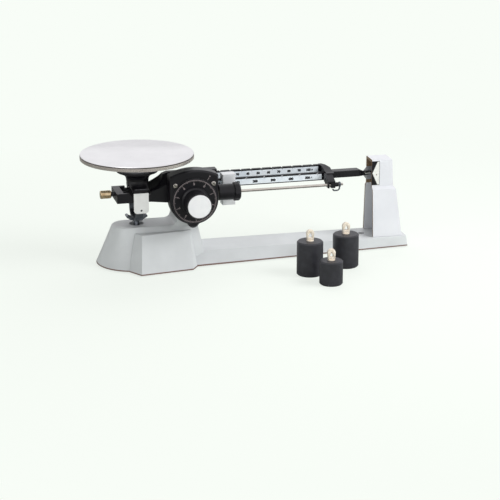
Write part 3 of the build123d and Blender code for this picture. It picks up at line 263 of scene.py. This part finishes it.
def startAlone():
    if bpy.context.object and bpy.context.object.mode != "OBJECT":
        bpy.ops.object.mode_set(mode="OBJECT")
    bpy.ops.object.select_all(action="DESELECT")


def pickUp(piece):
    startAlone()
    piece.select_set(True)
    bpy.context.view_layer.objects.active = piece


def pickedWhole(piece):
    # the whole mesh selected, ready in edit mode
    pickUp(piece)
    bpy.ops.object.mode_set(mode="EDIT")
    bpy.ops.mesh.select_all(action="SELECT")
    return piece


def pickedEdges(piece, wanted):
    # edges chosen by the place of their two ends, ready in edit mode
    pickUp(piece)
    bpy.ops.object.mode_set(mode="EDIT")
    bpy.ops.mesh.select_mode(type="EDGE")
    bpy.ops.mesh.select_all(action="DESELECT")
    bpy.ops.object.mode_set(mode="OBJECT")
    for edge in piece.data.edges:
        first, second = (piece.data.vertices[index].co for index in edge.vertices)
        edge.select = wanted(first, second)
    bpy.ops.object.mode_set(mode="EDIT")


def middleOf(node):
    low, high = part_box(node)
    return (low + high) / 2


def settle(piece, name, body, finish):
    piece.name = name
    piece.data.name = name
    piece.data.materials.clear()
    piece.data.materials.append(finishes[finish])
    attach(piece, body)
    return piece


def addedFinish(piece, finish):
    # a further material on the piece, returned as its place in the list
    piece.data.materials.append(finishes[finish])
    return len(piece.data.materials) - 1


def mergedCopy(node):
    piece = bpy.data.objects.new(node + "Copy", nodes[node].data.copy())
    bpy.context.scene.collection.objects.link(piece)
    pickedWhole(piece)
    bpy.ops.mesh.remove_doubles(threshold=bench["mergeMm"] * mm)
    bpy.ops.mesh.customdata_custom_splitnormals_clear()
    bpy.ops.object.mode_set(mode="OBJECT")
    return piece


def smoothed(piece, degrees):
    pickUp(piece)
    bpy.ops.object.shade_smooth_by_angle(angle=math.radians(degrees))
    return piece


def joined(members):
    startAlone()
    for piece in members:
        piece.select_set(True)
    bpy.context.view_layer.objects.active = members[0]
    bpy.ops.object.join()
    return bpy.context.object


def laidAside(piece):
    bpy.data.objects.remove(piece)


def withModifier(piece, kind, settings):
    pickUp(piece)
    modifier = piece.modifiers.new(kind.lower(), kind)
    for name, value in settings.items():
        setattr(modifier, name, value)
    bpy.ops.object.modifier_apply(modifier=modifier.name)
    return piece


# Tools for marks, which are drawn flat in X and Y and raised by their paint's thickness

def raised(piece, reach):
    # turns the flat mesh being edited into a closed plate
    bpy.ops.mesh.select_all(action="SELECT")
    bpy.ops.mesh.extrude_region_move(TRANSFORM_OT_translate={"value": reach})
    bpy.ops.mesh.select_all(action="SELECT")
    bpy.ops.mesh.normals_make_consistent(inside=False)
    bpy.ops.object.mode_set(mode="OBJECT")
    return piece


def markPlate(width, height, corner, thickness):
    startAlone()
    bpy.ops.mesh.primitive_plane_add(size=1, location=(0, 0, 0))
    piece = pickedWhole(bpy.context.object)
    bpy.ops.transform.resize(value=(width, height, 1))
    bpy.ops.mesh.bevel(offset=corner, segments=bench["markSegments"], affect="VERTICES")
    return raised(piece, (0, 0, thickness))


def flatDisc(radius, thickness):
    startAlone()
    bpy.ops.mesh.primitive_circle_add(vertices=bench["discSides"], radius=radius,
                                      fill_type="NGON", location=(0, 0, 0))
    return raised(pickedWhole(bpy.context.object), (0, 0, thickness))


def flatRing(radius, width, thickness):
    startAlone()
    bpy.ops.mesh.primitive_circle_add(vertices=bench["ringSides"], radius=radius,
                                      fill_type="NGON", location=(0, 0, 0))
    piece = pickedWhole(bpy.context.object)
    bpy.ops.mesh.inset(thickness=width)
    bpy.ops.mesh.delete(type="FACE")
    return raised(piece, (0, 0, thickness))


def lettering(words, size, thickness, boldness):
    startAlone()
    bpy.ops.object.text_add(location=(0, 0, 0))
    piece = bpy.context.object
    piece.data.body = words
    piece.data.size = size
    piece.data.extrude = thickness
    piece.data.offset = boldness
    piece.data.align_x = "CENTER"
    piece.data.align_y = "CENTER"
    piece.data.resolution_u = bench["fontSteps"]
    bpy.ops.object.convert(target="MESH")
    return bpy.context.object


def stamped(pattern, matrix):
    piece = bpy.data.objects.new("stamp", pattern.data.copy())
    bpy.context.scene.collection.objects.link(piece)
    piece.data.transform(matrix)
    return piece


# Turned and cast pieces whose facets would show: merged and smoothed

smoothPieces = {
    "panPlateSpun": {"node": "pan_plate", "body": "pan", "finish": "panSteel",
                     "slot": "pan_steel", "degrees": 40},
    "panHubTurned": {"node": "pan_hub", "body": "pan", "finish": "turnedAluminium",
                     "slot": "hub_aluminium", "degrees": 40},
    "dialDiscTurned": {"node": "dial_disc", "body": "dial", "finish": "mouldedBlack",
                       "slot": "black_plastic", "degrees": 30},
    "dialKnobTurned": {"node": "dial_knob", "body": "dial", "finish": "mouldedBlack",
                       "slot": "black_plastic", "degrees": 30},
    "dialCapTurned": {"node": "dial_cap", "body": "dial", "finish": "silverCap",
                      "slot": "hub_aluminium", "degrees": 30},
    "tarePoiseTurned": {"node": "tare_poise", "body": "tare_slider", "finish": "mouldedBlack",
                        "slot": "black_plastic", "degrees": 30},
    "tareRodDrawn": {"node": "tare_rod", "body": "beam", "finish": "nickelPlate",
                     "slot": "bright_plate", "degrees": 50},
    "weightHangerBent": {"node": "weight_hanger", "body": "hanger", "finish": "pressedSteel",
                         "slot": "bright_plate", "degrees": 50},
    "lowerBowPressed": {"node": "lower_bow", "body": "pan_carrier", "finish": "pressedSteel",
                        "slot": "dark_steel", "degrees": 35},
    "panSupportCast": {"node": "pan_support", "body": "pan_carrier", "finish": "satinBlack",
                       "slot": "beam_enamel", "degrees": 35},
    "beamCastingCast": {"node": "beam_casting", "body": "beam", "finish": "satinBlack",
                        "slot": "beam_enamel", "degrees": 25},
    "dialHousingMoulded": {"node": "dial_housing", "body": "beam", "finish": "satinBlack",
                           "slot": "black_enamel", "degrees": 25},
    "baseCastingSmooth": {"node": "base_casting", "body": "stand", "finish": "stovedEnamel",
                          "slot": "grey_enamel", "degrees": 15},
}
looseWeights = {"weight_1": "large_weight_left", "weight_2": "large_weight_right",
                "small_weight": "small_weight_body"}
for number, (node, body) in enumerate(looseWeights.items(), 1):
    smoothPieces["castWeight%d" % number] = {"node": node, "body": body, "finish": "wrinkleCoat",
                                             "slot": "weight_black", "degrees": 30}
for name, facts in smoothPieces.items():
    piece = smoothed(mergedCopy(facts["node"]), facts["degrees"])
    settle(piece, name, facts["body"], facts["finish"])
    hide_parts(facts["node"])
print("turned and cast pieces smoothed")


# Pointer tower: enamelled outside; slate on the inner end wall and red-brown in the head
# are painted shade, red-brown on the walls' trimmed edges is primer worn bare

towerInside = {"degrees": 15, "clear": 5.0, "facing": -0.9, "headLow": 84.0}


def makeTowerShell():
    low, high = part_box("pointer_tower")
    piece = smoothed(mergedCopy("pointer_tower"), towerInside["degrees"])
    settle(piece, "pointerTowerCast", "stand", "paleLitEnamel")
    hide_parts("pointer_tower")
    slate = addedFinish(piece, "paintedShadeSlate")
    brown = addedFinish(piece, "wornPrimerAndShade")
    middle = (low.y + high.y) / 2
    # painted shade: slate on the inner end wall, red-brown in the head; trimmed edges: worn primer
    for face in piece.data.polygons:
        inside = face.center.x > low.x + towerInside["clear"] * mm
        if face.normal.x < towerInside["facing"]:
            face.material_index = slate if inside else brown
        elif face.normal.y < towerInside["facing"] and face.center.y > middle:
            if face.center.z > towerInside["headLow"] * mm:
                face.material_index = brown


makeTowerShell()
print("tower lined")


# Steep faces below the pan's bead: painted shade in the groove, then the rim's painted warm
# reflection

panRim = {"grooveTop": 1.3, "grooveBottom": 2.7, "steepest": 0.9}


def finishPanRim():
    piece = bpy.data.objects["panPlateSpun"]
    grooveShade = addedFinish(piece, "grooveShadeSteel")
    rim = addedFinish(piece, "rimReflectionSteel")
    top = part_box("pan_plate")[1].z
    # painted shade on the groove faces, painted warm reflection on the rim below
    for face in piece.data.polygons:
        below = (top - face.center.z) / mm
        if abs(face.normal.z) > panRim["steepest"] or below < panRim["grooveTop"]:
            continue
        face.material_index = grooveShade if below < panRim["grooveBottom"] else rim


finishPanRim()
print("pan rim finished")


# Eyes of the loose weights: upright tabs with a round head and a small pointed hole

weightEye = {"width": 10.4, "thickness": 4.4, "height": 15.6, "baseShare": 0.86,
             "headShare": 0.499, "headSegments": 14, "edge": 0.35, "edgeSegments": 2,
             "degrees": 35,
             "hole": {"sides": 3, "radius": 4.4, "height": 7.6, "depth": 13.2, "corner": 0.9,
                      "cornerSegments": 4, "stretch": (0.85, 1, 1.18)},
             "seat": {"radius": 4.8, "height": 0.9}}


def makeEyeHole(middle, base):
    hole = weightEye["hole"]
    thickness = weightEye["thickness"] * mm
    startAlone()
    bpy.ops.mesh.primitive_cylinder_add(
        vertices=hole["sides"], radius=hole["radius"] * mm, depth=hole["depth"] * mm,
        location=(middle.x, middle.y, base + hole["height"] * mm),
        rotation=(math.radians(90), 0, 0))
    cutter = bpy.context.object
    bpy.ops.object.transform_apply(location=False, rotation=True, scale=False)
    pickedEdges(cutter, lambda first, second: abs(first.y - second.y) > thickness)
    bpy.ops.mesh.bevel(offset=hole["corner"] * mm, segments=hole["cornerSegments"],
                       affect="EDGES")
    bpy.ops.mesh.select_all(action="SELECT")
    bpy.ops.transform.resize(value=hole["stretch"])
    bpy.ops.object.mode_set(mode="OBJECT")
    return cutter


def makeWeightEye(number, node, body):
    middle = middleOf(node)
    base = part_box(node)[1].z
    width = weightEye["width"] * mm
    height = weightEye["height"] * mm
    startAlone()
    bpy.ops.mesh.primitive_cube_add(size=1, location=(0, 0, 0))
    tab = pickedWhole(bpy.context.object)
    bpy.ops.transform.resize(value=(width, weightEye["thickness"] * mm, height))
    bpy.ops.transform.translate(value=(0, 0, height / 2))
    bpy.ops.object.mode_set(mode="OBJECT")
    pickedEdges(tab, lambda first, second: (min(first.z, second.z) > height / 2
                                            and abs(first.x - second.x) < mm))
    bpy.ops.mesh.bevel(offset=weightEye["headShare"] * width,
                       segments=weightEye["headSegments"], affect="EDGES")
    bpy.ops.object.mode_set(mode="OBJECT")
    pickedEdges(tab, lambda first, second: max(first.z, second.z) < mm)
    bpy.ops.transform.resize(value=(weightEye["baseShare"], 1, 1))
    bpy.ops.object.mode_set(mode="OBJECT")
    tab.data.transform(Matrix.Translation((middle.x, middle.y, base)))
    cutter = makeEyeHole(middle, base)
    withModifier(tab, "BOOLEAN", {"operation": "DIFFERENCE", "object": cutter, "solver": "EXACT"})
    laidAside(cutter)
    withModifier(tab, "BEVEL", {"width": weightEye["edge"] * mm,
                                "segments": weightEye["edgeSegments"], "limit_method": "ANGLE"})
    seat = flatDisc(weightEye["seat"]["radius"] * mm, weightEye["seat"]["height"] * mm)
    seat.data.transform(Matrix.Translation((middle.x, middle.y, base)))
    eye = smoothed(joined([tab, seat]), weightEye["degrees"])
    settle(eye, "weightEye%d" % number, body, "paleBrass")
    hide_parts(node + "_eye")


for number, (node, body) in enumerate(looseWeights.items(), 1):
    makeWeightEye(number, node, body)
print("weight eyes made")


# Filled marks of the dial and its cover

dialMarks = {"divisions": 100, "longEvery": 10, "middleEvery": 5, "tickWidth": 0.44, "corner": 0.05,
             "longTick": 3.8, "middleTick": 2.6, "shortTick": 1.7, "rim": 29.2, "rimLine": 0.4,
             "numbers": 10, "numberRadius": 23.2, "numberSize": 4.6, "boldness": 0.06,
             "paint": 0.06, "turn": 33}
housingIndex = {"start": 32.4, "end": 36.6, "dotReach": 38.6, "dotRadius": 0.8}
screwSlots = {"headRadius": 3.0, "length": 5.2, "width": 0.9, "corner": 0.1, "depth": 0.62,
              "thickness": 0.05, "turn": -40}


def onDial(centre, share, reach):
    # a place at a share of a full turn from the index, its top pointing outward
    angle = math.radians(dialMarks["turn"]) + 2 * math.pi * share
    turn = Matrix.Rotation(-angle, 4, "Z") @ Matrix.Translation((0, reach * mm, 0))
    return Matrix.Translation(centre) @ faceOn @ turn


def makeDialMarks():
    middle = middleOf("dial_disc")
    centre = Vector((middle.x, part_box("dial_disc")[0].y, middle.z))
    paint = dialMarks["paint"] * mm
    marks = []
    patterns = {}
    for length in ("longTick", "middleTick", "shortTick"):
        patterns[length] = markPlate(dialMarks["tickWidth"] * mm, dialMarks[length] * mm,
                                     dialMarks["corner"] * mm, paint)
    for step in range(dialMarks["divisions"]):
        length = "shortTick"
        if step % dialMarks["longEvery"] == 0:
            length = "longTick"
        elif step % dialMarks["middleEvery"] == 0:
            length = "middleTick"
        reach = dialMarks["rim"] - dialMarks[length] / 2
        marks.append(stamped(patterns[length],
                             onDial(centre, step / dialMarks["divisions"], reach)))
    for number in range(dialMarks["numbers"]):
        word = lettering(str(number), dialMarks["numberSize"] * mm, paint,
                         dialMarks["boldness"] * mm)
        word.data.transform(onDial(centre, number / dialMarks["numbers"],
                                   dialMarks["numberRadius"]))
        marks.append(word)
    for pattern in patterns.values():
        laidAside(pattern)
    rim = flatRing(dialMarks["rim"] * mm, dialMarks["rimLine"] * mm, paint)
    rim.data.transform(Matrix.Translation(centre) @ faceOn)
    marks.append(rim)
    settle(joined(marks), "dialMarks", "dial", "fillPaint")


def makeHousingIndex():
    # a line and a dot on the cover, where the dial is read
    middle = middleOf("dial_disc")
    centre = Vector((middle.x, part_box("dial_housing")[0].y, middle.z))
    paint = dialMarks["paint"] * mm
    length = housingIndex["end"] - housingIndex["start"]
    line = markPlate(dialMarks["tickWidth"] * mm, length * mm, dialMarks["corner"] * mm, paint)
    line.data.transform(onDial(centre, 0, housingIndex["start"] + length / 2))
    dot = flatDisc(housingIndex["dotRadius"] * mm, paint)
    dot.data.transform(onDial(centre, 0, housingIndex["dotReach"]))
    settle(joined([line, dot]), "housingIndex", "beam", "fillPaint")


def makeScrewSlots():
    # painted shade: dark marks where the cut slots of the cover's two screws lie in shade
    low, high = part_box("housing_screws")
    head = screwSlots["headRadius"] * mm
    turn = Matrix.Rotation(math.radians(screwSlots["turn"]), 4, "Z")
    marks = []
    for x in (low.x + head, high.x - head):
        slot = markPlate(screwSlots["length"] * mm, screwSlots["width"] * mm,
                         screwSlots["corner"] * mm, screwSlots["thickness"] * mm)
        place = (x, low.y + screwSlots["depth"] * mm, (low.z + high.z) / 2)
        slot.data.transform(Matrix.Translation(place) @ faceOn @ turn)
        marks.append(slot)
    settle(joined(marks), "screwSlotShade", "beam", "inkAndSlotShade")


makeDialMarks()
makeHousingIndex()
makeScrewSlots()
print("dial marked")


# Scales printed on the two beams, and painted highlights at their notches

panAxisX = middleOf("pan_plate").x
beamScales = {
    "rearScalePrint": {"node": "rear_scale_plate", "firstX": 103.6, "pitch": 14.6, "steps": 10,
                       "each": 10, "size": 4.2, "drop": 4.4, "leftOfNotch": 5.4},
    "centreScalePrint": {"node": "centre_scale_plate", "firstX": 124.4, "pitch": 25.2,
                         "steps": 5, "each": 100, "size": 4.4, "drop": 4.4, "leftOfNotch": 12.4},
}
scaleInk = {"thickness": 0.05, "boldness": 0.38, "tickWidth": 0.35, "tickHeight": 1.3,
            "tickDrop": 0.75, "corner": 0.05, "clearLeft": 2, "clearRight": 1, "clearWord": 3}
notchHighlight = {"length": 2.8, "width": 0.8, "corner": 0.1, "thickness": 0.05, "turn": 35,
             "ahead": 0.8, "above": 1.1}


def notchX(facts, step):
    return panAxisX + (facts["firstX"] + facts["pitch"] * step) * mm


def makeNotchWear():
    # painted highlights: slanted bright marks at the notches of the centre beam, where light glints
    facts = beamScales["centreScalePrint"]
    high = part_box(facts["node"])[1]
    pattern = markPlate(notchHighlight["length"] * mm, notchHighlight["width"] * mm,
                        notchHighlight["corner"] * mm, notchHighlight["thickness"] * mm)
    turn = Matrix.Rotation(math.radians(notchHighlight["turn"]), 4, "Z")
    marks = []
    for step in range(1, facts["steps"] + 1):
        place = (notchX(facts, step), high.y - notchHighlight["ahead"] * mm,
                 high.z + notchHighlight["above"] * mm)
        marks.append(stamped(pattern, Matrix.Translation(place) @ faceOn @ turn))
    laidAside(pattern)
    settle(joined(marks), "notchHighlight", "beam", "notchHighlightMetal")


def makeScalePrint(name, facts):
    low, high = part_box(facts["node"])
    ink = scaleInk["thickness"] * mm
    marks = []
    tick = markPlate(scaleInk["tickWidth"] * mm, scaleInk["tickHeight"] * mm,
                     scaleInk["corner"] * mm, ink)
    for step in range(facts["steps"] + 1):
        x = notchX(facts, step)
        wordX = x - facts["leftOfNotch"] * mm
        if low.x + scaleInk["clearLeft"] * mm < x < high.x - scaleInk["clearRight"] * mm:
            place = (x, low.y, high.z - scaleInk["tickDrop"] * mm)
            marks.append(stamped(tick, Matrix.Translation(place) @ faceOn))
        if wordX < low.x + scaleInk["clearWord"] * mm:
            continue
        words = str(step * facts["each"]) + (" g" if step == facts["steps"] else "")
        word = lettering(words, facts["size"] * mm, ink, scaleInk["boldness"] * mm)
        place = (wordX, low.y, high.z - facts["drop"] * mm)
        word.data.transform(Matrix.Translation(place) @ faceOn)
        marks.append(word)
    laidAside(tick)
    settle(joined(marks), name, "beam", "inkAndSlotShade")


makeNotchWear()
for name, facts in beamScales.items():
    makeScalePrint(name, facts)
print("beam scales printed")


# Index plate: a pale triangle on black, its apex at the pointer

indexTriangle = {"thickness": 0.05, "corners": ((0.05, 0.5), (0.75, 0.985), (0.99, 0.985),
                                                (0.99, 0.015), (0.75, 0.015))}
pointerLine = {"startX": 319.2, "endX": 327.6, "width": 0.8, "corner": 0.1, "bladeFront": 2.4,
               "thickness": 0.05}


def makeIndexTriangle():
    low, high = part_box("index_plate")
    corners = indexTriangle["corners"]
    startAlone()
    bpy.ops.mesh.primitive_circle_add(vertices=len(corners), radius=1, fill_type="NGON",
                                      location=(0, 0, 0))
    piece = bpy.context.object
    for vertex, (across, up) in zip(piece.data.vertices, corners):
        vertex.co = (low.x + across * (high.x - low.x), low.y, low.z + up * (high.z - low.z))
    raised(pickedWhole(piece), (0, -indexTriangle["thickness"] * mm, 0))
    settle(piece, "indexTriangle", "stand", "palePaint")


def makePointerLine():
    # white line along the middle of the pointer's blade
    length = pointerLine["endX"] - pointerLine["startX"]
    line = markPlate(length * mm, pointerLine["width"] * mm, pointerLine["corner"] * mm,
                     pointerLine["thickness"] * mm)
    place = (panAxisX + (pointerLine["startX"] + length / 2) * mm,
             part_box("damping_vane")[0].y - pointerLine["bladeFront"] * mm,
             middleOf("index_rivet").z)
    line.data.transform(Matrix.Translation(place) @ faceOn)
    settle(line, "pointerLine", "beam", "palePaint")


makeIndexTriangle()
makePointerLine()
print("index plate painted")


# Stage, light and camera

floorLook = {"colour": "F8FDF7", "half": 4.0, "glow": 0.72, "fadeStart": 0.3, "fadeEnd": 0.75,
             "mirrored": 0.35}
worldLook = {"colour": "F8FDF7", "mirrored": "F8F8FA", "glow": "F7F8F6", "light": 0.45}
softboxes = {
    "keySoftbox": {"place": (1.15, -0.7, 0.95), "size": 0.9, "power": 19, "mirrored": False},
    "fillSoftbox": {"place": (-0.9, -1.0, 0.7), "size": 0.9, "power": 3.2, "mirrored": True},
    "backSoftbox": {"place": (0.2, 0.9, 1.1), "size": 1.0, "power": 6, "mirrored": False},
}
cameraLook = {"turn": -14.332, "rise": 17.257, "distance": 2478.784, "lens": 129.6, "sensor": 36.0,
              "aim": (6.263, 48.65, 3.559)}


def mathNode(tree, operation, first, second):
    node = addNode(tree, "ShaderNodeMath", {"operation": operation}, {})
    tree.links.new(first, node.inputs[0])
    tree.links.new(second, node.inputs[1])
    return node.outputs["Value"]


def mixedShader(tree, share, first, second):
    node = addNode(tree, "ShaderNodeMixShader", {}, {"Fac": share})
    tree.links.new(first, node.inputs[1])
    tree.links.new(second, node.inputs[2])
    return node.outputs["Shader"]


def makeFloor():
    startAlone()
    bpy.ops.mesh.primitive_plane_add(size=2 * floorLook["half"], location=(0, 0, 0))
    floor = bpy.context.object
    floor.name = "studioFloor"
    material = bpy.data.materials.new("studioPaper")
    tree = clearedTree(material)
    colour = linearColour(floorLook["colour"])
    dull = tuple(channel * floorLook["mirrored"] for channel in colour[:3]) + (1,)
    ray = addNode(tree, "ShaderNodeLightPath", {}, {})
    tone = addNode(tree, "ShaderNodeMixRGB", {"Color1": colour, "Color2": dull},
                   {"Fac": ray.outputs["Is Glossy Ray"]}).outputs["Color"]
    paper = addNode(tree, "ShaderNodeBsdfDiffuse", {}, {"Color": tone}).outputs["BSDF"]
    glow = addNode(tree, "ShaderNodeEmission", {"Color": colour, "Strength": 1.0},
                   {}).outputs["Emission"]
    place = addNode(tree, "ShaderNodeTexCoord", {}, {}).outputs["Object"]
    reach = addNode(tree, "ShaderNodeVectorMath", {"operation": "LENGTH"},
                    {"Vector": place}).outputs["Value"]
    # near the object the lamps light the paper, which holds the shadow; further out it is plain
    far = addNode(tree, "ShaderNodeMapRange",
                  {"From Min": floorLook["fadeStart"], "From Max": floorLook["fadeEnd"],
                   "To Min": floorLook["glow"], "To Max": 1.0},
                  {"Value": reach}).outputs["Result"]
    share = mathNode(tree, "MULTIPLY", ray.outputs["Is Camera Ray"], far)
    addNode(tree, "ShaderNodeOutputMaterial", {},
            {"Surface": mixedShader(tree, share, paper, glow)})
    floor.data.materials.append(material)


def makeWorld():
    # one tone for the camera, one for mirror rays, and a softer light for everything else
    world = bpy.data.worlds.new("softStudio")
    bpy.context.scene.world = world
    tree = clearedTree(world)
    ray = addNode(tree, "ShaderNodeLightPath", {}, {})
    light = addNode(tree, "ShaderNodeBackground",
                    {"Color": linearColour(worldLook["glow"]), "Strength": worldLook["light"]},
                    {}).outputs["Background"]
    tone = addNode(tree, "ShaderNodeMixRGB",
                   {"Color1": linearColour(worldLook["mirrored"]),
                    "Color2": linearColour(worldLook["colour"])},
                   {"Fac": ray.outputs["Is Camera Ray"]}).outputs["Color"]
    shown = addNode(tree, "ShaderNodeBackground", {"Strength": 1.0},
                    {"Color": tone}).outputs["Background"]
    direct = mathNode(tree, "MAXIMUM", ray.outputs["Is Camera Ray"], ray.outputs["Is Glossy Ray"])
    either = mathNode(tree, "MAXIMUM", direct, ray.outputs["Is Transmission Ray"])
    addNode(tree, "ShaderNodeOutputWorld", {},
            {"Surface": mixedShader(tree, either, light, shown)})


def makeLights():
    for name, facts in softboxes.items():
        lamp = bpy.data.lights.new(name, "AREA")
        lamp.size = facts["size"]
        lamp.energy = facts["power"]
        box = bpy.data.objects.new(name, lamp)
        bpy.context.scene.collection.objects.link(box)
        box.location = facts["place"]
        box.rotation_euler = Vector(facts["place"]).to_track_quat("Z", "Y").to_euler()
        box.visible_glossy = facts["mirrored"]


def makeCamera():
    turn = math.radians(cameraLook["turn"])
    rise = math.radians(cameraLook["rise"])
    back = Vector((math.sin(turn) * math.cos(rise), -math.cos(turn) * math.cos(rise),
                   math.sin(rise)))
    data = bpy.data.cameras.new("photoCamera")
    data.lens = cameraLook["lens"]
    data.sensor_width = cameraLook["sensor"]
    camera = bpy.data.objects.new("photoCamera", data)
    bpy.context.scene.collection.objects.link(camera)
    camera.location = Vector(cameraLook["aim"]) * mm + back * cameraLook["distance"] * mm
    camera.rotation_euler = back.to_track_quat("Z", "Y").to_euler()
    bpy.context.scene.camera = camera


makeFloor()
makeWorld()
makeLights()
makeCamera()
bpy.context.scene.view_settings.view_transform = "Standard"
print("stage, light and camera set")
